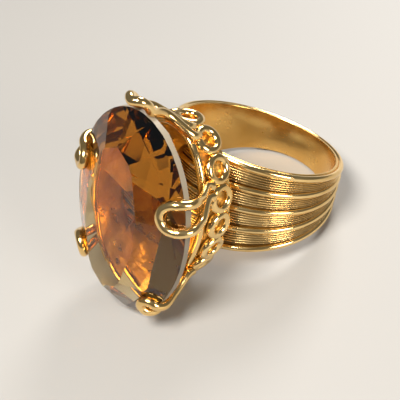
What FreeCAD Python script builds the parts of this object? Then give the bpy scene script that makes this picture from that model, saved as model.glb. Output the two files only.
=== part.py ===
import FreeCAD
import Part

import math
import os

from FreeCAD import Base

# Cocktail ring: a tapering band of four engraved strands carries a raised oval head with a
# looped wire gallery, and five hairpin claws hold a large faceted stone.
#
# The pieces are drawn in the ring's own frame: the finger axis is Z, the head points to -X and
# heights in the head are distances from the finger axis. The ring is then laid on its side, where
# it touches a table with the low end of its head and the back of its band.

# Band
FINGER_R = 8.5            # 17 mm inside diameter, about US finger size 6 1/2
SLEEVE_R = 8.85           # outside of the smooth sleeve
STRAND_R = 9.22           # outside of the engraved strands
RIDGE_PATH_R = 9.12       # centre line of the ridge wires
RIDGE_WIRE_R = 0.34
HALF_WIDTH_SIDE = 3.75    # half the band's width at its sides
TAPER = 0.199             # loss of half width per mm from the head to the back
STRANDS = 4

# Stone, an oval mixed cut
STONE_A = 11.0            # half length, along the finger axis
STONE_B = 8.0             # half width
GIRDLE_LOW = 17.05
GIRDLE_HIGH = 17.65
TABLE_HEIGHT = 20.1
TABLE_A = 8.0             # half length and width of the long table
TABLE_B = 3.6
CULET_HEIGHT = 10.75
CULET_FLAT = 0.1
STAR_REACH = 0.97         # how far in the facets beside the table start
GIRDLE_FACET_RUN = 0.9    # how much steeper the small facets at the girdle stand
LOWER_FACET_REACH = 0.12

# Head
COLLAR_A = 6.3
COLLAR_B = 4.1
COLLAR_WALL = 0.9
COLLET_LOW = 9.9          # height where the collet stands on the collar
COLLET_HIGH = 13.1
COLLET_LOW_A = 8.2
COLLET_LOW_B = 6.0
COLLET_HIGH_A = 8.9
COLLET_HIGH_B = 5.7
COLLET_WALL = 0.5
COLLET_FOOT_WALL = 2.9
RAIL_WIRE_R = 0.42
RAIL_HEIGHT = 13.25
RAIL_INSET = 0.1

# Gallery loops
LOOPS = 16
LOOP_R = 1.14             # centre line of one round loop
LOOP_WIRE_R = 0.44
LOOP_HEIGHT = 11.4        # height of the loops' centres
LOOP_STAND_OFF = 0.3      # from the collet's wall to the loops' centre line

# Claws. A leg's points are (outward, along, height), first out from the collet's wall and then out
# from the stone's edge, and the fold's are (inward over the crown, along).
CLAW_WIRE_R = 0.48
CLAW_FOOT = [(0.62, 0.52, 12.6), (0.76, 0.6, 13.4)]
CLAW_LEG = [(-0.42, 0.85, 15.3), (0.33, 1.0, 17.2)]
CLAW_FOLD = [(0.5, 1.05), (1.3, 1.0), (2.05, 0.68), (2.4, 0.0)]
CLAW_LIFT = 0.45          # from the crown's facet to the wire's centre
# The top claw stands up past the stone's edge: (outward, along, height) from that edge
TOP_CLAW_END = [(1.1, 1.0, 17.85), (1.5, 0.72, 18.5), (1.42, 0.0, 18.9)]
# Each claw's turn from the top of the stone at the tip and at the foot, then how far it folds over
# the crown and how wide it spreads, as shares of CLAW_FOLD
CLAWS = {
    "claw_top": (1, -20, 1.0, 1.0),
    "claw_left": (70, 62, 1.0, 1.0),
    "claw_right": (-70, -64, 0.85, 1.3),
    "claw_low_left": (131, 129, 0.65, 1.0),
    "claw_low_right": (-137, -133, 0.5, 0.9),
}

NEAREST_LOOPS = 3         # the loops that a claw's feet lean on


def head_point(height, left, up):
    """A point of the head: height from the finger axis, then left and up on the stone's face."""
    return Base.Vector(-height, left, up)


def tube(outer, inner):
    """A long tube on the finger axis."""
    low = Base.Vector(0, 0, -20)
    return Part.makeCylinder(outer, 40, low).cut(Part.makeCylinder(inner, 40, low))


def edge_height(fraction, x, inset):
    """Height of the band's line at this fraction of the half width, which tapers along X."""
    return fraction * (HALF_WIDTH_SIDE - inset - TAPER * x)


def band_slab(low, high, inset):
    """The wedge of space between two lines of the tapering band."""
    reach = 15.0
    corners = [Base.Vector(x, -reach, edge_height(line, x, inset))
               for line, x in ((low, -reach), (low, reach), (high, reach), (high, -reach))]
    outline = Part.makePolygon(corners + corners[:1])
    return Part.Face(outline).extrude(Base.Vector(0, 2 * reach, 0))


def ellipse_wire(height, half_long, half_wide):
    """An ellipse at one height of the head, its long axis along the finger."""
    centre = head_point(height, 0, 0)
    curve = Part.Ellipse(head_point(height, 0, half_long), head_point(height, half_wide, 0), centre)
    return Part.Wire(curve.toShape())


def head_prism(low, high, half_long, half_wide):
    """A straight elliptical block of the head between two heights."""
    base = Part.Face(ellipse_wire(low, half_long, half_wide))
    return base.extrude(Base.Vector(low - high, 0, 0))


def swept_wire(path, start, direction, radius):
    """A round wire along a path."""
    section = Part.Wire(Part.makeCircle(radius, start, direction))
    return path.makePipeShell([section], True, True)


def ridge_wire(fraction):
    """A polished wire round the band at one of its lines."""
    inset = RIDGE_WIRE_R
    middle = edge_height(fraction, 0, inset)
    back = Base.Vector(RIDGE_PATH_R, 0, edge_height(fraction, RIDGE_PATH_R, inset))
    side = Base.Vector(0, RIDGE_PATH_R, middle)
    curve = Part.Ellipse(back, side, Base.Vector(0, 0, middle))
    path = Part.Wire(curve.toShape())
    start = curve.value(0)
    return swept_wire(path, start, curve.tangent(0)[0], RIDGE_WIRE_R)


def band():
    """Sleeve, ridge wires and strands, which stop at the head's collar."""
    footprint = head_prism(0, COLLET_LOW, COLLAR_A, COLLAR_B)
    pieces = {"band_sleeve": tube(SLEEVE_R, FINGER_R).common(band_slab(-1, 1, 0))}
    fractions = [1 - 2 * i / STRANDS for i in range(STRANDS + 1)]
    clear = footprint.fuse(tube(SLEEVE_R, 1))
    wires = [ridge_wire(fraction).cut(clear) for fraction in fractions]
    for number, wire in enumerate(wires, 1):
        pieces[f"ridge_wire_{number}"] = wire
    for i in range(STRANDS):
        slab = band_slab(fractions[i + 1], fractions[i], RIDGE_WIRE_R)
        strand = tube(STRAND_R, SLEEVE_R).common(slab)
        strand = strand.cut(footprint).cut(wires[i]).cut(wires[i + 1])
        pieces[f"band_strand_{i + 1}"] = strand
    return pieces


def collar():
    """The oval collar that stands on the sleeve and carries the collet."""
    outer = head_prism(4, COLLET_LOW, COLLAR_A, COLLAR_B)
    inner = head_prism(4, COLLET_LOW, COLLAR_A - COLLAR_WALL, COLLAR_B - COLLAR_WALL)
    finger_room = Part.makeCylinder(SLEEVE_R, 40, Base.Vector(0, 0, -20))
    return outer.cut(inner).cut(finger_room)


def collet_block(inset_low, inset_high):
    """The flared oval block of the collet, drawn in by an inset at each end."""
    low = ellipse_wire(COLLET_LOW, COLLET_LOW_A - inset_low, COLLET_LOW_B - inset_low)
    high = ellipse_wire(COLLET_HIGH, COLLET_HIGH_A - inset_high, COLLET_HIGH_B - inset_high)
    return Part.makeLoft([low, high], True, True)


def rail():
    """The wire round the collet's top edge."""
    half_long = COLLET_HIGH_A - RAIL_INSET
    half_wide = COLLET_HIGH_B - RAIL_INSET
    path = ellipse_wire(RAIL_HEIGHT, half_long, half_wide)
    start = head_point(RAIL_HEIGHT, 0, half_long)
    return swept_wire(path, start, Base.Vector(0, 1, 0), RAIL_WIRE_R)


def arc_positions(half_long, half_wide, count):
    """Angles on an ellipse, from its right side, that divide its length evenly."""
    steps = 2880
    angles = [-math.pi / 2 + 2 * math.pi * i / steps for i in range(steps + 1)]
    points = [(half_wide * math.sin(a), half_long * math.cos(a)) for a in angles]
    lengths = [0.0]
    for first, second in zip(points, points[1:]):
        lengths.append(lengths[-1] + math.dist(first, second))
    return [angles[min(range(steps), key=lambda i: abs(lengths[i] - lengths[-1] * n / count))]
            for n in range(count)]


def outward(angle, half_long, half_wide):
    """Unit normal of an ellipse as (left, up)."""
    left = math.sin(angle) / half_wide
    up = math.cos(angle) / half_long
    size = math.hypot(left, up)
    return left / size, up / size


def gallery_loop(angle, half_long, half_wide, flare):
    """One round wire loop that leans back against the collet's wall."""
    left, up = outward(angle, half_long, half_wide)
    normal = Base.Vector(math.sin(flare), left * math.cos(flare), up * math.cos(flare))
    wall = head_point(LOOP_HEIGHT, half_wide * math.sin(angle), half_long * math.cos(angle))
    return Part.makeTorus(LOOP_R, LOOP_WIRE_R, wall + normal * LOOP_STAND_OFF, normal)


def gallery(collet_solid, rail_wire):
    """The row of loops, each trimmed where it meets the collet, the rail and the loop before."""
    rise = (LOOP_HEIGHT - COLLET_LOW) / (COLLET_HIGH - COLLET_LOW)
    half_long = COLLET_LOW_A + rise * (COLLET_HIGH_A - COLLET_LOW_A)
    half_wide = COLLET_LOW_B + rise * (COLLET_HIGH_B - COLLET_LOW_B)
    spread = (COLLET_HIGH_A + COLLET_HIGH_B - COLLET_LOW_A - COLLET_LOW_B) / 2
    flare = math.atan2(spread, COLLET_HIGH - COLLET_LOW)
    loops = []
    for angle in arc_positions(half_long, half_wide, LOOPS):
        loop = gallery_loop(angle, half_long, half_wide, flare)
        loop = loop.cut(collet_solid).cut(rail_wire)
        for other in loops[-1:] + loops[:1] * (len(loops) == LOOPS - 1):
            loop = loop.cut(other)
        loops.append(loop)
    return {f"gallery_loop_{number:02d}": loop for number, loop in enumerate(loops, 1)}


def facet_cutter(angle, low, high, low_height, high_height):
    """The space outside one facet. low and high are the half lengths and widths of the ovals
    that the facet touches at its two heights."""
    left, up = outward(angle, STONE_A, STONE_B)
    reach_low = math.hypot(low[0] * up, low[1] * left)
    reach_high = math.hypot(high[0] * up, high[1] * left)
    rise = high_height - low_height
    run = reach_low - reach_high
    normal = head_point(run, left * rise, up * rise)
    if rise < 0:
        normal = head_point(run, left * -rise, up * -rise)
        normal.x = -normal.x
    start = head_point(low_height, left * reach_low, up * reach_low)
    return Part.makeCylinder(60, 60, start, normal)


def stone():
    """The oval stone: a smooth girdle, crown facets up to a long table, and a deep pavilion."""
    girdle = (STONE_A, STONE_B)
    table = (TABLE_A, TABLE_B)
    point = (0.0, 0.0)
    eighth = math.pi / 4
    cutters = []
    for i in range(8):
        main = i * eighth
        between = (i + 0.5) * eighth
        star = [side * STAR_REACH for side in table]
        cutters.append(facet_cutter(main, girdle, table, GIRDLE_HIGH, TABLE_HEIGHT))
        cutters.append(facet_cutter(between, girdle, star, GIRDLE_HIGH, TABLE_HEIGHT))
        cutters.append(facet_cutter(main, girdle, point, GIRDLE_LOW, CULET_HEIGHT))
        for side in (-0.25, 0.25):
            edge = (i + 0.5 + side) * eighth
            crown_edge = [s + GIRDLE_FACET_RUN for s in table]
            lower_edge = [s * LOWER_FACET_REACH for s in girdle]
            cutters.append(facet_cutter(edge, girdle, crown_edge, GIRDLE_HIGH, TABLE_HEIGHT))
            cutters.append(facet_cutter(edge, girdle, lower_edge, GIRDLE_LOW, CULET_HEIGHT))
    block = head_prism(CULET_HEIGHT + CULET_FLAT, TABLE_HEIGHT, STONE_A, STONE_B)
    for cutter in cutters:
        block = block.cut(cutter)
    return block


def reach(angle, half_long, half_wide):
    """How far an oval reaches in the direction of the stone's outline normal at this angle."""
    left, up = outward(angle, STONE_A, STONE_B)
    return math.hypot(half_long * up, half_wide * left)


def claw_points(name):
    """One leg of a claw from its foot to the tip, as (centre, normal, out, along, height)."""
    tip_angle, foot_angle = [math.radians(turn) for turn in CLAWS[name][:2]]
    fold, spread = CLAWS[name][2:]
    run = reach(tip_angle, STONE_A, STONE_B) - reach(tip_angle, TABLE_A, TABLE_B)
    slope = math.atan2(TABLE_HEIGHT - GIRDLE_HIGH, run)
    foot_normal = outward(foot_angle, STONE_A, STONE_B)
    normal = outward(tip_angle, STONE_A, STONE_B)
    points = []
    for out, along, height in CLAW_FOOT:
        rise = (height - COLLET_LOW) / (COLLET_HIGH - COLLET_LOW)
        half_long = COLLET_LOW_A + rise * (COLLET_HIGH_A - COLLET_LOW_A)
        half_wide = COLLET_LOW_B + rise * (COLLET_HIGH_B - COLLET_LOW_B)
        wall = (half_wide * math.sin(foot_angle), half_long * math.cos(foot_angle))
        points.append((wall, foot_normal, out, along, height))
    edge = (STONE_B * math.sin(tip_angle), STONE_A * math.cos(tip_angle))
    points += [(edge, normal, out, along * spread, height) for out, along, height in CLAW_LEG]
    if name == "claw_top":
        return points + [(edge, normal, out, along, height) for out, along, height in TOP_CLAW_END]
    for share, along in CLAW_FOLD:
        inward = share * fold
        out = CLAW_LIFT * math.sin(slope) - inward
        height = GIRDLE_HIGH + inward * math.tan(slope) + CLAW_LIFT * math.cos(slope)
        points.append((edge, normal, out, along * spread, height))
    return points


def claw(name, seats, loops):
    """A hairpin wire: two legs rise over the gallery and join over the stone's edge."""
    leg = claw_points(name)
    mirrored = [(centre, normal, out, -along, height) for centre, normal, out, along, height in leg[:-1]]
    points = []
    for (left, up), (normal_left, normal_up), out, along, height in mirrored + leg[::-1]:
        points.append(head_point(height, left + out * normal_left + along * normal_up,
                                 up + out * normal_up - along * normal_left))
    curve = Part.BSplineCurve()
    curve.interpolate(points)
    path = Part.Wire(curve.toShape())
    wire = swept_wire(path, points[0], curve.tangent(0)[0], CLAW_WIRE_R)
    foot = (points[0] + points[-1]) / 2
    nearby = sorted(loops, key=lambda loop: loop.CenterOfGravity.distanceToPoint(foot))
    for other in seats + nearby[:NEAREST_LOOPS]:
        wire = wire.cut(other)
    return wire


def build():
    """Every piece of the ring, in the ring's own frame."""
    pieces = band()
    pieces["head_collar"] = collar()
    collet_solid = collet_block(0, 0)
    pieces["collet"] = collet_solid.cut(collet_block(COLLET_FOOT_WALL, COLLET_WALL))
    pieces["gallery_rail"] = rail().cut(pieces["collet"])
    loops = gallery(collet_solid, pieces["gallery_rail"])
    pieces.update(loops)
    pieces["gemstone"] = stone()
    seats = [pieces["gemstone"], pieces["gallery_rail"], pieces["collet"]]
    for name in CLAWS:
        pieces[name] = claw(name, seats, loops.values())
    return pieces


def lowest(shapes, up):
    """The point that lies lowest when this direction points up."""
    points = [point for shape in shapes for point in shape]
    return min(points, key=lambda point: point.dot(up))


def resting_axes(pieces):
    """Axes of the table's frame for the ring lying on the low end of its head and the back of its
    band, with the head to -X. It leans in its own plane of symmetry only."""
    band_points = []
    head_points = []
    for name, shape in pieces.items():
        side = band_points if name.startswith(("band", "ridge")) else head_points
        side.append(shape.tessellate(0.05)[0])
    z_axis = Base.Vector(0, 0, 1)
    for _ in range(30):
        along = lowest(band_points, z_axis) - lowest(head_points, z_axis)
        z_axis = Base.Vector(-along.z, 0, along.x).normalize()
    y_axis = Base.Vector(0, 1, 0)
    return y_axis.cross(z_axis), y_axis, z_axis


def resting_matrix(pieces):
    """Lays the ring down and puts the frame's origin at the bottom centre of its box."""
    axes = resting_axes(pieces)
    points = [point for shape in pieces.values() for point in shape.tessellate(0.05)[0]]
    spans = [[point.dot(axis) for point in points] for axis in axes]
    middle = [(min(span) + max(span)) / 2 for span in spans]
    shift = (-middle[0], -middle[1], -min(spans[2]))
    rows = [(axis.x, axis.y, axis.z, move) for axis, move in zip(axes, shift)]
    numbers = [number for row in rows for number in row]
    return Base.Matrix(*numbers, 0, 0, 0, 1)


def main():
    os.makedirs("parts", exist_ok=True)
    pieces = build()
    matrix = resting_matrix(pieces)
    print("ring to table frame", matrix)
    for name, shape in pieces.items():
        placed = shape.copy()
        placed.transformShape(matrix, True)
        placed.exportStep(os.path.join("parts", f"{name}.step"))
        print(name, placed.isValid(), len(placed.Solids), round(placed.Volume, 3))


main()
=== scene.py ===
import math

import bmesh
import bpy
from mathutils import Euler, Matrix, Vector


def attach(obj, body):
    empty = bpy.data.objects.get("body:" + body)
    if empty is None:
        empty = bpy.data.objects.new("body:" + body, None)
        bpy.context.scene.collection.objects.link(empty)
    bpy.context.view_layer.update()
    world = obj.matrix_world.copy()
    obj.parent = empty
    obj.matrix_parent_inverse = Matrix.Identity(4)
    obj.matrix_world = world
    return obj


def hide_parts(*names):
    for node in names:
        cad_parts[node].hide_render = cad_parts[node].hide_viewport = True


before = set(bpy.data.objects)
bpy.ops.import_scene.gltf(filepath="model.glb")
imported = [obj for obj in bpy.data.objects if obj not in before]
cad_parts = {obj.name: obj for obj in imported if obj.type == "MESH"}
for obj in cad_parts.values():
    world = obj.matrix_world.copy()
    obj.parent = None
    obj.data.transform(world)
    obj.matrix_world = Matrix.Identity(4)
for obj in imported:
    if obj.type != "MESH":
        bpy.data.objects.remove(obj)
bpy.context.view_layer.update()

# A cocktail ring: a band of four engraved strands, and a head with a gallery of wire loops, whose
# five hairpin claws hold a large smoky oval stone.
#
# The ring's own frame, as in the CAD: millimetres, finger axis on Z, head towards -X. The ring
# lies on a table, so its frame leans by this turn and stands at this place.
LEAN_PITCH = math.radians(20.574)
RING_PLACE = Vector((6.0953, 0.0, 5.0383))
MM = 0.001                # one millimetre in metres

# Band
FINGER_R = 8.5
SLEEVE_R = 8.85
SLEEVE_CORNER_R = 0.12
STRAND_R = 9.22
RIDGE_PATH_R = 9.12
RIDGE_WIRE_R = 0.34
HALF_WIDTH_SIDE = 3.75
TAPER = 0.199
STRANDS = 4
STRAND_SINK = 0.02        # how far the strands reach into the sleeve
FINE_LINES = 6            # engraved lines on one strand
FINE_FIELD = 0.74         # share of a strand that the lines take, from its upper ridge
FINE_DEPTH = 0.13
HOLLOW_DEPTH = 0.17       # the plain hollow below the lines

# Stone
STONE_A = 11.0
STONE_B = 8.0
GIRDLE_LOW = 17.05
GIRDLE_HIGH = 17.65
TABLE_HEIGHT = 20.1
TABLE_A = 8.0
TABLE_B = 3.6
CULET_HEIGHT = 10.75
CULET_FLAT = 0.1
MAIN_FACETS = 8
STAR_REACH = 0.97         # how far in the facets beside the table start
GIRDLE_FACET_RUN = 0.9    # how much steeper the small facets at the girdle stand
LOWER_FACET_REACH = 0.12
CUT_MERGE = 1e-5          # corners closer than this to a cut lie on it
RIM_LEAN = 0.1            # most that a face of the rim leans towards the crown

# Head
COLLET_LOW = 9.9
COLLET_HIGH = 13.1
COLLET_LOW_OVAL = (8.2, 6.0)
COLLET_HIGH_OVAL = (8.9, 5.7)
RAIL_WIRE_R = 0.42
RAIL_HEIGHT = 13.25
RAIL_INSET = 0.1
LOOPS = 16
LOOP_R = 1.14
LOOP_WIRE_R = 0.44
LOOP_HEIGHT = 11.4
LOOP_STAND_OFF = 0.3

# Claws, as in the CAD: a leg's points are (outward, along, height), the fold's (inward, along)
CLAW_WIRE_R = 0.48
CLAW_FOOT = [(0.62, 0.52, 12.6), (0.76, 0.6, 13.4)]
CLAW_LEG = [(-0.42, 0.85, 15.3), (0.33, 1.0, 17.2)]
CLAW_FOLD = [(0.5, 1.05), (1.3, 1.0), (2.05, 0.68), (2.4, 0.0)]
CLAW_LIFT = 0.45
TOP_CLAW_END = [(1.1, 1.0, 17.85), (1.5, 0.72, 18.5), (1.42, 0.0, 18.9)]
# Turn from the top of the stone at the tip and at the foot, then shares of the fold and spread
CLAWS = {
    "claw_top": (1, -20, 1.0, 1.0),
    "claw_left": (70, 62, 1.0, 1.0),
    "claw_right": (-70, -64, 0.85, 1.3),
    "claw_low_left": (131, 129, 0.65, 1.0),
    "claw_low_right": (-137, -133, 0.5, 0.9),
}

# Fineness of the meshes
BAND_TURNS = 360          # sections round the band
STRAND_STEPS = 120        # faces across one strand
CORNER_STEPS = 4          # faces round one corner of the sleeve
STONE_SIDES = 128         # sides of the block that the facets are cut from
OVAL_STEPS = 2880         # stretches measured round an oval
LOOP_STEPS = 64
RAIL_STEPS = 256
CLAW_STEPS = 12           # from one guide point to the next
WIRE_SIDES = 20
CLAW_WIRE_SIDES = 24

TO_TABLE = (Matrix.Scale(MM, 4) @ Matrix.Translation(RING_PLACE)
            @ Matrix.Rotation(LEAN_PITCH, 4, "Y"))


# ---------------------------------------------------------------- materials

# Each gold: dark and light colour, roughness, roughness that wear adds, grain per metre and its
# height in millimetres
GOLDS = {
    "gold_polished": ((0.80, 0.52, 0.19), (0.93, 0.67, 0.30), 0.10, 0.12, 900.0, 0.012),
    "gold_engraved": ((0.74, 0.48, 0.18), (0.92, 0.66, 0.30), 0.18, 0.15, 1500.0, 0.015),
    # The next gold is painted shade: a dark gold for the deep faces of the fine lines and of the
    # hollow on each strand
    "gold_painted_groove_shade": ((0.07, 0.04, 0.012), (0.20, 0.12, 0.04), 0.38, 0.20, 1500.0, 0.02),
    "gold_bore": ((0.72, 0.42, 0.11), (0.88, 0.58, 0.20), 0.16, 0.14, 500.0, 0.02),
    "gold_grainy": ((0.50, 0.29, 0.08), (0.88, 0.60, 0.20), 0.24, 0.25, 1100.0, 0.22),
}
# Noise per metre and its detail, and where on the noise a change starts and ends
TINT_SCALE = 260.0
TINT_DETAIL = 3.0
TINT_STOPS = (0.3, 0.7)
WEAR_SCALE = 700.0
WEAR_DETAIL = 5.0
WEAR_STOPS = (0.3, 0.75)
GRAIN_DETAIL = 4.0

STONE_TINT = (1.0, 0.97, 0.9, 1.0)
STONE_IOR = 1.55
SMOKE_COLOUR = (0.86, 0.68, 0.22, 1.0)
SMOKE_DENSITY = 235.0     # per metre
RIM_COLOUR = (0.21, 0.175, 0.125)
RIM_ROUGHNESS = 0.5


def new_material(name):
    material = bpy.data.materials.new(name)
    material.use_nodes = True
    return material, material.node_tree, material.node_tree.nodes["Principled BSDF"]


def link(tree, source, target):
    tree.links.new(source, target)


def noise_node(tree, vector, scale, detail):
    node = tree.nodes.new("ShaderNodeTexNoise")
    node.inputs["Scale"].default_value = scale
    node.inputs["Detail"].default_value = detail
    link(tree, vector, node.inputs["Vector"])
    return node


def ramp_node(tree, source, stops):
    """A ramp between two stops, each a place on the ramp and a colour."""
    node = tree.nodes.new("ShaderNodeValToRGB")
    for element, (place, colour) in zip(node.color_ramp.elements, stops):
        element.position = place
        element.color = (*colour, 1.0)
    link(tree, source, node.inputs["Fac"])
    return node


def gold(name):
    """Gold with a slow drift of colour, uneven polish and a fine grain."""
    dark, light, roughness, wear, grain_scale, grain_height = GOLDS[name]
    material, tree, shader = new_material(name)
    shader.inputs["Metallic"].default_value = 1.0
    place = tree.nodes.new("ShaderNodeTexCoord").outputs["Object"]
    drift = noise_node(tree, place, TINT_SCALE, TINT_DETAIL)
    tint = ramp_node(tree, drift.outputs["Fac"], zip(TINT_STOPS, (dark, light)))
    link(tree, tint.outputs["Color"], shader.inputs["Base Color"])
    polish = noise_node(tree, place, WEAR_SCALE, WEAR_DETAIL)
    greys = ((roughness,) * 3, (roughness + wear,) * 3)
    rough = ramp_node(tree, polish.outputs["Fac"], zip(WEAR_STOPS, greys))
    link(tree, rough.outputs["Color"], shader.inputs["Roughness"])
    grain = noise_node(tree, place, grain_scale, GRAIN_DETAIL)
    bump = tree.nodes.new("ShaderNodeBump")
    bump.inputs["Strength"].default_value = 1.0
    bump.inputs["Distance"].default_value = grain_height * MM
    link(tree, grain.outputs["Fac"], bump.inputs["Height"])
    link(tree, bump.outputs["Normal"], shader.inputs["Normal"])
    return material


def smoky_stone():
    """Clear brown quartz: light loses its blue first as it crosses the stone."""
    material, tree, shader = new_material("smoky_stone")
    shader.inputs["Base Color"].default_value = STONE_TINT
    shader.inputs["Roughness"].default_value = 0.0
    shader.inputs["IOR"].default_value = STONE_IOR
    shader.inputs["Transmission Weight"].default_value = 1.0
    absorb = tree.nodes.new("ShaderNodeVolumeAbsorption")
    absorb.inputs["Color"].default_value = SMOKE_COLOUR
    absorb.inputs["Density"].default_value = SMOKE_DENSITY
    link(tree, absorb.outputs["Volume"], tree.nodes["Material Output"].inputs["Volume"])
    return material


def matt(name, colour, roughness):
    material, tree, shader = new_material(name)
    shader.inputs["Base Color"].default_value = (*colour, 1.0)
    shader.inputs["Roughness"].default_value = roughness
    return material


# ---------------------------------------------------------------- shapes

def add_piece(name, mesh, materials, smooth=True):
    """Puts a mesh drawn in the ring's frame on the ring, with these materials."""
    mesh.transform(TO_TABLE)
    mesh.update()
    for material in materials:
        mesh.materials.append(material)
    for polygon in mesh.polygons:
        polygon.use_smooth = smooth
    piece = bpy.data.objects.new(name, mesh)
    bpy.context.scene.collection.objects.link(piece)
    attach(piece, "root")
    return piece


def ring_of_sections(name, sections, closed_path):
    """Skins a list of closed sections, each a list of points, into one mesh."""
    count = len(sections[0])
    vertices = [tuple(point) for section in sections for point in section]
    faces = []
    spans = len(sections) if closed_path else len(sections) - 1
    for i in range(spans):
        here = i * count
        after = ((i + 1) % len(sections)) * count
        for j in range(count):
            across = (j + 1) % count
            faces.append((here + j, here + across, after + across, after + j))
    if not closed_path:
        faces.append(tuple(range(count))[::-1])
        last = (len(sections) - 1) * count
        faces.append(tuple(range(last, last + count)))
    mesh = bpy.data.meshes.new(name)
    mesh.from_pydata(vertices, [], faces)
    mesh.validate()
    return mesh


def wire_mesh(name, points, radius, closed, sides=WIRE_SIDES):
    """A round wire along a dense list of points."""
    count = len(points)
    sections = []
    tangents = []
    for i in range(count):
        if closed:
            step = points[(i + 1) % count] - points[i - 1]
        else:
            step = points[min(i + 1, count - 1)] - points[max(i - 1, 0)]
        tangents.append(step.normalized())
    side = tangents[0].orthogonal().normalized()
    for i in range(count):
        side = (side - tangents[i] * side.dot(tangents[i])).normalized()
        other = tangents[i].cross(side)
        ring = []
        for k in range(sides):
            turn = 2 * math.pi * k / sides
            ring.append(points[i] + (side * math.cos(turn) + other * math.sin(turn)) * radius)
        sections.append(ring)
    return ring_of_sections(name, sections, closed)


def smooth_path(points, steps):
    """A dense centripetal curve through the points."""
    ends = [points[0] * 2 - points[1]] + points + [points[-1] * 2 - points[-2]]
    path = []
    for i in range(1, len(ends) - 2):
        a, b, c, d = ends[i - 1:i + 3]
        times = [0.0]
        for first, second in ((a, b), (b, c), (c, d)):
            times.append(times[-1] + math.sqrt((second - first).length))
        for k in range(steps):
            t = times[1] + (times[2] - times[1]) * k / steps
            ab = a.lerp(b, t / times[1])
            bc = b.lerp(c, (t - times[1]) / (times[2] - times[1]))
            cd = c.lerp(d, (t - times[2]) / (times[3] - times[2]))
            abc = ab.lerp(bc, t / times[2])
            bcd = bc.lerp(cd, (t - times[1]) / (times[3] - times[1]))
            path.append(abc.lerp(bcd, (t - times[1]) / (times[2] - times[1])))
    path.append(points[-1].copy())
    return path


# ---------------------------------------------------------------- band

def line_height(fraction, x, inset):
    """Height of a line at a fraction of the band's half width, less an inset at its rims."""
    return fraction * (HALF_WIDTH_SIDE - inset - TAPER * x)


def band_mesh(name, section):
    """A closed section swept round the finger. A section point is (radius, fraction of the band's
    half width, move along the axis)."""
    sections = []
    for i in range(BAND_TURNS):
        turn = 2 * math.pi * i / BAND_TURNS
        points = []
        for radius, fraction, move in section:
            x = radius * math.cos(turn)
            points.append((x, radius * math.sin(turn), line_height(fraction, x, 0.0) + move))
        sections.append(points)
    return ring_of_sections(name, sections, True)


def sleeve_section():
    """The sleeve's section with its four corners rounded."""
    corner = SLEEVE_CORNER_R
    outer = SLEEVE_R - corner
    inner = FINGER_R + corner
    points = []
    for centre_r, rim, start in ((outer, 1, 0), (inner, 1, 90), (inner, -1, 180), (outer, -1, 270)):
        for k in range(CORNER_STEPS + 1):
            turn = math.radians(start + 90 * k / CORNER_STEPS)
            points.append((centre_r + corner * math.cos(turn), rim,
                           corner * math.sin(turn) - rim * corner))
    return points


def strand_section(low, high):
    """A strand between two ridges: fine lines from its upper ridge down, then a plain hollow that
    reaches the lower ridge."""
    points = []
    for k in range(STRAND_STEPS + 1):
        share = k / STRAND_STEPS
        from_top = 1 - share
        if from_top < FINE_FIELD:
            wave = 0.5 - 0.5 * math.cos(2 * math.pi * FINE_LINES * from_top / FINE_FIELD)
            radius = STRAND_R - FINE_DEPTH * wave
        else:
            across = (from_top - FINE_FIELD) / (1 - FINE_FIELD)
            radius = STRAND_R - HOLLOW_DEPTH * math.sin(math.pi * across) ** 0.5
        points.append((radius, low + share * (high - low), 0.0))
    points.append((SLEEVE_R - STRAND_SINK, high, 0.0))
    points.append((SLEEVE_R - STRAND_SINK, low, 0.0))
    return points


def ridge_path(fraction):
    path = []
    for i in range(BAND_TURNS):
        turn = 2 * math.pi * i / BAND_TURNS
        x = RIDGE_PATH_R * math.cos(turn)
        path.append(Vector((x, RIDGE_PATH_R * math.sin(turn),
                            line_height(fraction, x, RIDGE_WIRE_R))))
    return path


def paint_groove_shade(mesh, section, depth):
    """Gives the second material, a dark gold that paints shade, to the faces that lie deeper than
    this in the section.
    """
    count = len(section)
    for polygon in mesh.polygons:
        side = polygon.index % count
        radius = (section[side][0] + section[(side + 1) % count][0]) / 2
        polygon.material_index = int(radius < STRAND_R - depth)


def build_band(polished, engraved, painted_groove_shade, bore):
    sleeve = add_piece("sleeve", band_mesh("sleeve", sleeve_section()), [bore])
    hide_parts("band_sleeve")
    fractions = [1 - 2 * i / STRANDS for i in range(STRANDS + 1)]
    for number, fraction in enumerate(fractions, 1):
        mesh = wire_mesh(f"ridge_{number}", ridge_path(fraction), RIDGE_WIRE_R, True)
        ridge = add_piece(f"ridge_{number}", mesh, [polished])
        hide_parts(f"ridge_wire_{number}")
    trim = RIDGE_WIRE_R / HALF_WIDTH_SIDE
    for i in range(STRANDS):
        section = strand_section(fractions[i + 1] * (1 - trim), fractions[i] * (1 - trim))
        mesh = band_mesh(f"strand_{i + 1}", section)
        # Painted shade: the deep faces of the fine lines and of the hollow take the dark gold
        paint_groove_shade(mesh, section, FINE_DEPTH / 2)
        strand = add_piece(f"strand_{i + 1}", mesh, [engraved, painted_groove_shade])
        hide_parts(f"band_strand_{i + 1}")


# ---------------------------------------------------------------- stone

def outward(angle, half_long, half_wide):
    """Direction square to an oval at this turn from its top, as (left, up)."""
    left = math.sin(angle) / half_wide
    up = math.cos(angle) / half_long
    size = math.hypot(left, up)
    return left / size, up / size


def oval_reach(angle, half_long, half_wide):
    """How far an oval reaches in the stone's outward direction at this turn."""
    left, up = outward(angle, STONE_A, STONE_B)
    return math.hypot(half_long * up, half_wide * left)


def facet(angle, low, high, low_height, high_height):
    """The plane that touches the oval low at one height and the oval high at the other, as (point,
    outward normal)."""
    left, up = outward(angle, STONE_A, STONE_B)
    reach_low = oval_reach(angle, *low)
    reach_high = oval_reach(angle, *high)
    rise = high_height - low_height
    run = reach_low - reach_high
    tilt = -run if rise > 0 else run
    normal = Vector((tilt, left * abs(rise), up * abs(rise))).normalized()
    return Vector((-low_height, left * reach_low, up * reach_low)), normal


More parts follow.
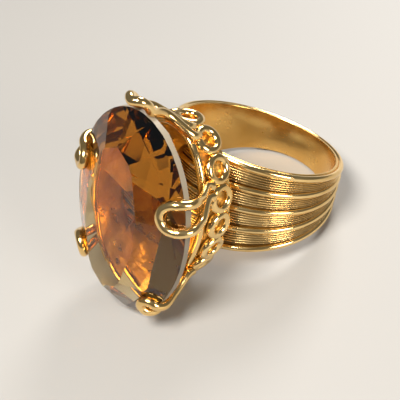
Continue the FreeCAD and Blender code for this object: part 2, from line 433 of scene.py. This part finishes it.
def stone_facets():
    girdle = (STONE_A, STONE_B)
    table = (TABLE_A, TABLE_B)
    star = [side * STAR_REACH for side in table]
    crown_edge = [side + GIRDLE_FACET_RUN for side in table]
    lower_edge = [side * LOWER_FACET_REACH for side in girdle]
    step = 2 * math.pi / MAIN_FACETS
    planes = []
    for i in range(MAIN_FACETS):
        main = i * step
        planes.append(facet(main, girdle, table, GIRDLE_HIGH, TABLE_HEIGHT))
        planes.append(facet(main + step / 2, girdle, star, GIRDLE_HIGH, TABLE_HEIGHT))
        planes.append(facet(main, girdle, (0, 0), GIRDLE_LOW, CULET_HEIGHT))
        for side in (0.25, 0.75):
            edge = main + side * step
            planes.append(facet(edge, girdle, crown_edge, GIRDLE_HIGH, TABLE_HEIGHT))
            planes.append(facet(edge, girdle, lower_edge, GIRDLE_LOW, CULET_HEIGHT))
    return planes


def frost_girdle(mesh):
    """Gives the second material to the stone's unpolished rim."""
    middle = (GIRDLE_LOW + GIRDLE_HIGH) / 2
    for polygon in mesh.polygons:
        on_rim = abs(-polygon.center.x - middle) < (GIRDLE_HIGH - GIRDLE_LOW) / 2
        polygon.material_index = int(on_rim and abs(polygon.normal.x) < RIM_LEAN)


def stone_block():
    """An upright oval block as wide as the stone, from its culet to its table."""
    shape = bmesh.new()
    rings = []
    for height in (CULET_HEIGHT + CULET_FLAT, TABLE_HEIGHT):
        ring = []
        for k in range(STONE_SIDES):
            angle = 2 * math.pi * k / STONE_SIDES
            place = (-height, STONE_B * math.sin(angle), STONE_A * math.cos(angle))
            ring.append(shape.verts.new(place))
        rings.append(ring)
    low, high = rings
    shape.faces.new(low)
    shape.faces.new(high)
    for k in range(STONE_SIDES):
        after = (k + 1) % STONE_SIDES
        shape.faces.new((low[k], low[after], high[after], high[k]))
    bmesh.ops.recalc_face_normals(shape, faces=shape.faces)
    return shape


def cut_facet(shape, point, normal):
    """Takes away what stands outside the plane, and closes the cut."""
    everything = shape.verts[:] + shape.edges[:] + shape.faces[:]
    cut = bmesh.ops.bisect_plane(shape, geom=everything, dist=CUT_MERGE, plane_co=point,
                                 plane_no=normal, clear_outer=True)
    edges = [item for item in cut["geom_cut"] if isinstance(item, bmesh.types.BMEdge)]
    open_edges = [edge for edge in edges if len(edge.link_faces) == 1]
    if len(open_edges) > 2:
        bmesh.ops.edgeloop_fill(shape, edges=open_edges)


def build_stone(clear, frosted):
    shape = stone_block()
    for point, normal in stone_facets():
        cut_facet(shape, point, normal)
    bmesh.ops.recalc_face_normals(shape, faces=shape.faces)
    mesh = bpy.data.meshes.new("stone")
    shape.to_mesh(mesh)
    shape.free()
    frost_girdle(mesh)
    piece = add_piece("stone", mesh, [clear, frosted], smooth=False)
    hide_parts("gemstone")


# ---------------------------------------------------------------- head

def head_point(height, left, up):
    return Vector((-height, left, up))


def collet_oval(height):
    """Half length and half width of the collet at this height."""
    share = (height - COLLET_LOW) / (COLLET_HIGH - COLLET_LOW)
    return [low + share * (high - low) for low, high in zip(COLLET_LOW_OVAL, COLLET_HIGH_OVAL)]


def even_angles(half_long, half_wide, count):
    """Angles on an oval, from its right side, that divide its length evenly."""
    angles = [-math.pi / 2 + 2 * math.pi * i / OVAL_STEPS for i in range(OVAL_STEPS + 1)]
    lengths = [0.0]
    for first, second in zip(angles, angles[1:]):
        step = math.hypot(half_wide * (math.sin(second) - math.sin(first)),
                          half_long * (math.cos(second) - math.cos(first)))
        lengths.append(lengths[-1] + step)
    even = []
    for n in range(count):
        wanted = lengths[-1] * n / count
        even.append(angles[min(range(OVAL_STEPS), key=lambda i: abs(lengths[i] - wanted))])
    return even


def loop_path(angle):
    """A round loop that stands on the collet's wall at this turn from its top."""
    half_long, half_wide = collet_oval(LOOP_HEIGHT)
    spread = (sum(COLLET_HIGH_OVAL) - sum(COLLET_LOW_OVAL)) / 2
    flare = math.atan2(spread, COLLET_HIGH - COLLET_LOW)
    left, up = outward(angle, half_long, half_wide)
    normal = Vector((math.sin(flare), left * math.cos(flare), up * math.cos(flare)))
    along = normal.cross(Vector((0, -up, left))).normalized()
    across = normal.cross(along)
    centre = head_point(LOOP_HEIGHT, half_wide * math.sin(angle), half_long * math.cos(angle))
    centre += normal * LOOP_STAND_OFF
    path = []
    for k in range(LOOP_STEPS):
        turn = 2 * math.pi * k / LOOP_STEPS
        path.append(centre + (along * math.cos(turn) + across * math.sin(turn)) * LOOP_R)
    return path


def rail_path():
    path = []
    for k in range(RAIL_STEPS):
        turn = 2 * math.pi * k / RAIL_STEPS
        path.append(head_point(RAIL_HEIGHT, (COLLET_HIGH_OVAL[1] - RAIL_INSET) * math.sin(turn),
                               (COLLET_HIGH_OVAL[0] - RAIL_INSET) * math.cos(turn)))
    return path


def build_gallery(polished):
    for number, angle in enumerate(even_angles(*collet_oval(LOOP_HEIGHT), LOOPS), 1):
        name = f"loop_{number:02d}"
        mesh = wire_mesh(name, loop_path(angle), LOOP_WIRE_R, True)
        piece = add_piece(name, mesh, [polished])
        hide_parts(f"gallery_loop_{number:02d}")
    rail = add_piece("rail", wire_mesh("rail", rail_path(), RAIL_WIRE_R, True), [polished])
    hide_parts("gallery_rail")


def claw_points(name):
    """The claw wire's guide points from one foot over the stone's edge to the other."""
    tip_angle, foot_angle = [math.radians(turn) for turn in CLAWS[name][:2]]
    fold, spread = CLAWS[name][2:]
    run = oval_reach(tip_angle, STONE_A, STONE_B) - oval_reach(tip_angle, TABLE_A, TABLE_B)
    slope = math.atan2(TABLE_HEIGHT - GIRDLE_HIGH, run)
    foot_normal = outward(foot_angle, STONE_A, STONE_B)
    normal = outward(tip_angle, STONE_A, STONE_B)
    leg = []
    for out, along, height in CLAW_FOOT:
        half_long, half_wide = collet_oval(height)
        wall = (half_wide * math.sin(foot_angle), half_long * math.cos(foot_angle))
        leg.append((wall, foot_normal, out, along, height))
    edge = (STONE_B * math.sin(tip_angle), STONE_A * math.cos(tip_angle))
    leg += [(edge, normal, out, along * spread, height) for out, along, height in CLAW_LEG]
    if name == "claw_top":
        leg += [(edge, normal, out, along, height) for out, along, height in TOP_CLAW_END]
    else:
        for share, along in CLAW_FOLD:
            inward = share * fold
            out = CLAW_LIFT * math.sin(slope) - inward
            height = GIRDLE_HIGH + inward * math.tan(slope) + CLAW_LIFT * math.cos(slope)
            leg.append((edge, normal, out, along * spread, height))
    mirrored = [(centre, facing, out, -along, height)
                for centre, facing, out, along, height in leg[:-1]]
    return [head_point(height, left + out * facing[0] + along * facing[1],
                       up + out * facing[1] - along * facing[0])
            for (left, up), facing, out, along, height in mirrored + leg[::-1]]


def build_claws(polished):
    for name in CLAWS:
        path = smooth_path(claw_points(name), CLAW_STEPS)
        mesh = wire_mesh(name + "_wire", path, CLAW_WIRE_R, False, CLAW_WIRE_SIDES)
        piece = add_piece(name + "_wire", mesh, [polished])
        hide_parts(name)


# ---------------------------------------------------------------- studio

# All in metres and watts
FLOOR_HALF_SIDE = 2.0
FLOOR_COLOUR = (0.27, 0.262, 0.25)
FLOOR_ROUGHNESS = 0.6
LIGHT_AIM = Vector((0.0, 0.0, 0.01))
# Each light: place, width, power and colour
LIGHTS = {
    "key": ((-0.10, -0.02, 0.22), 0.10, 1.6, (1.0, 0.96, 0.9)),
    "fill": ((0.02, -0.26, 0.12), 0.12, 0.7, (1.0, 0.95, 0.88)),
    "rim": ((0.20, 0.10, 0.16), 0.10, 0.9, (1.0, 0.97, 0.93)),
}
WORLD_COLOUR = (0.9, 0.92, 0.95, 1.0)
WORLD_STRENGTH = 0.22
VIEW_EXPOSURE = -0.35

CAMERA_PLACE = Vector((-0.039919, -0.053131, 0.074806))
CAMERA_AZIMUTH = math.radians(-35.65)
CAMERA_ELEVATION = math.radians(46.48)
CAMERA_ROLL = math.radians(-9.63)
CAMERA_LENS = 81.1        # millimetres, as is the sensor
CAMERA_SENSOR = 36.0
CAMERA_CLIP = 0.001


def add_floor():
    side = FLOOR_HALF_SIDE
    mesh = bpy.data.meshes.new("floor")
    corners = [(-side, -side, 0), (side, -side, 0), (side, side, 0), (-side, side, 0)]
    mesh.from_pydata(corners, [], [(0, 1, 2, 3)])
    mesh.materials.append(matt("floor", FLOOR_COLOUR, FLOOR_ROUGHNESS))
    floor = bpy.data.objects.new("floor", mesh)
    bpy.context.scene.collection.objects.link(floor)


def add_light(name):
    """A soft round light that faces the ring."""
    place, width, watts, colour = LIGHTS[name]
    lamp = bpy.data.lights.new(name, "AREA")
    lamp.shape = "DISK"
    lamp.size = width
    lamp.energy = watts
    lamp.color = colour
    light = bpy.data.objects.new(name, lamp)
    light.location = place
    light.rotation_euler = (LIGHT_AIM - Vector(place)).to_track_quat("-Z", "Y").to_euler()
    bpy.context.scene.collection.objects.link(light)


def add_studio():
    add_floor()
    for name in LIGHTS:
        add_light(name)
    world = bpy.data.worlds.new("studio")
    world.use_nodes = True
    background = world.node_tree.nodes["Background"]
    background.inputs["Color"].default_value = WORLD_COLOUR
    background.inputs["Strength"].default_value = WORLD_STRENGTH
    bpy.context.scene.world = world
    bpy.context.scene.view_settings.view_transform = "Standard"
    bpy.context.scene.view_settings.exposure = VIEW_EXPOSURE


def add_camera():
    data = bpy.data.cameras.new("camera")
    data.lens = CAMERA_LENS
    data.sensor_width = CAMERA_SENSOR
    data.clip_start = CAMERA_CLIP
    camera = bpy.data.objects.new("camera", data)
    turn = Euler((math.pi / 2 - CAMERA_ELEVATION, 0.0, CAMERA_AZIMUTH)).to_matrix().to_4x4()
    roll = Matrix.Rotation(CAMERA_ROLL, 4, "Z")
    camera.matrix_world = Matrix.Translation(CAMERA_PLACE) @ turn @ roll
    bpy.context.scene.collection.objects.link(camera)
    bpy.context.scene.camera = camera


# ---------------------------------------------------------------- whole

polished = gold("gold_polished")
engraved = gold("gold_engraved")
# A dark gold that paints shade into the strands' fine lines and hollows
painted_groove_shade = gold("gold_painted_groove_shade")
bore = gold("gold_bore")
grainy = gold("gold_grainy")
frosted = matt("stone_rim", RIM_COLOUR, RIM_ROUGHNESS)
build_band(polished, engraved, painted_groove_shade, bore)
build_stone(smoky_stone(), frosted)
build_gallery(polished)
build_claws(polished)
for node in ("collet", "head_collar"):
    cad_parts[node].data.materials[0] = grainy
add_studio()
add_camera()
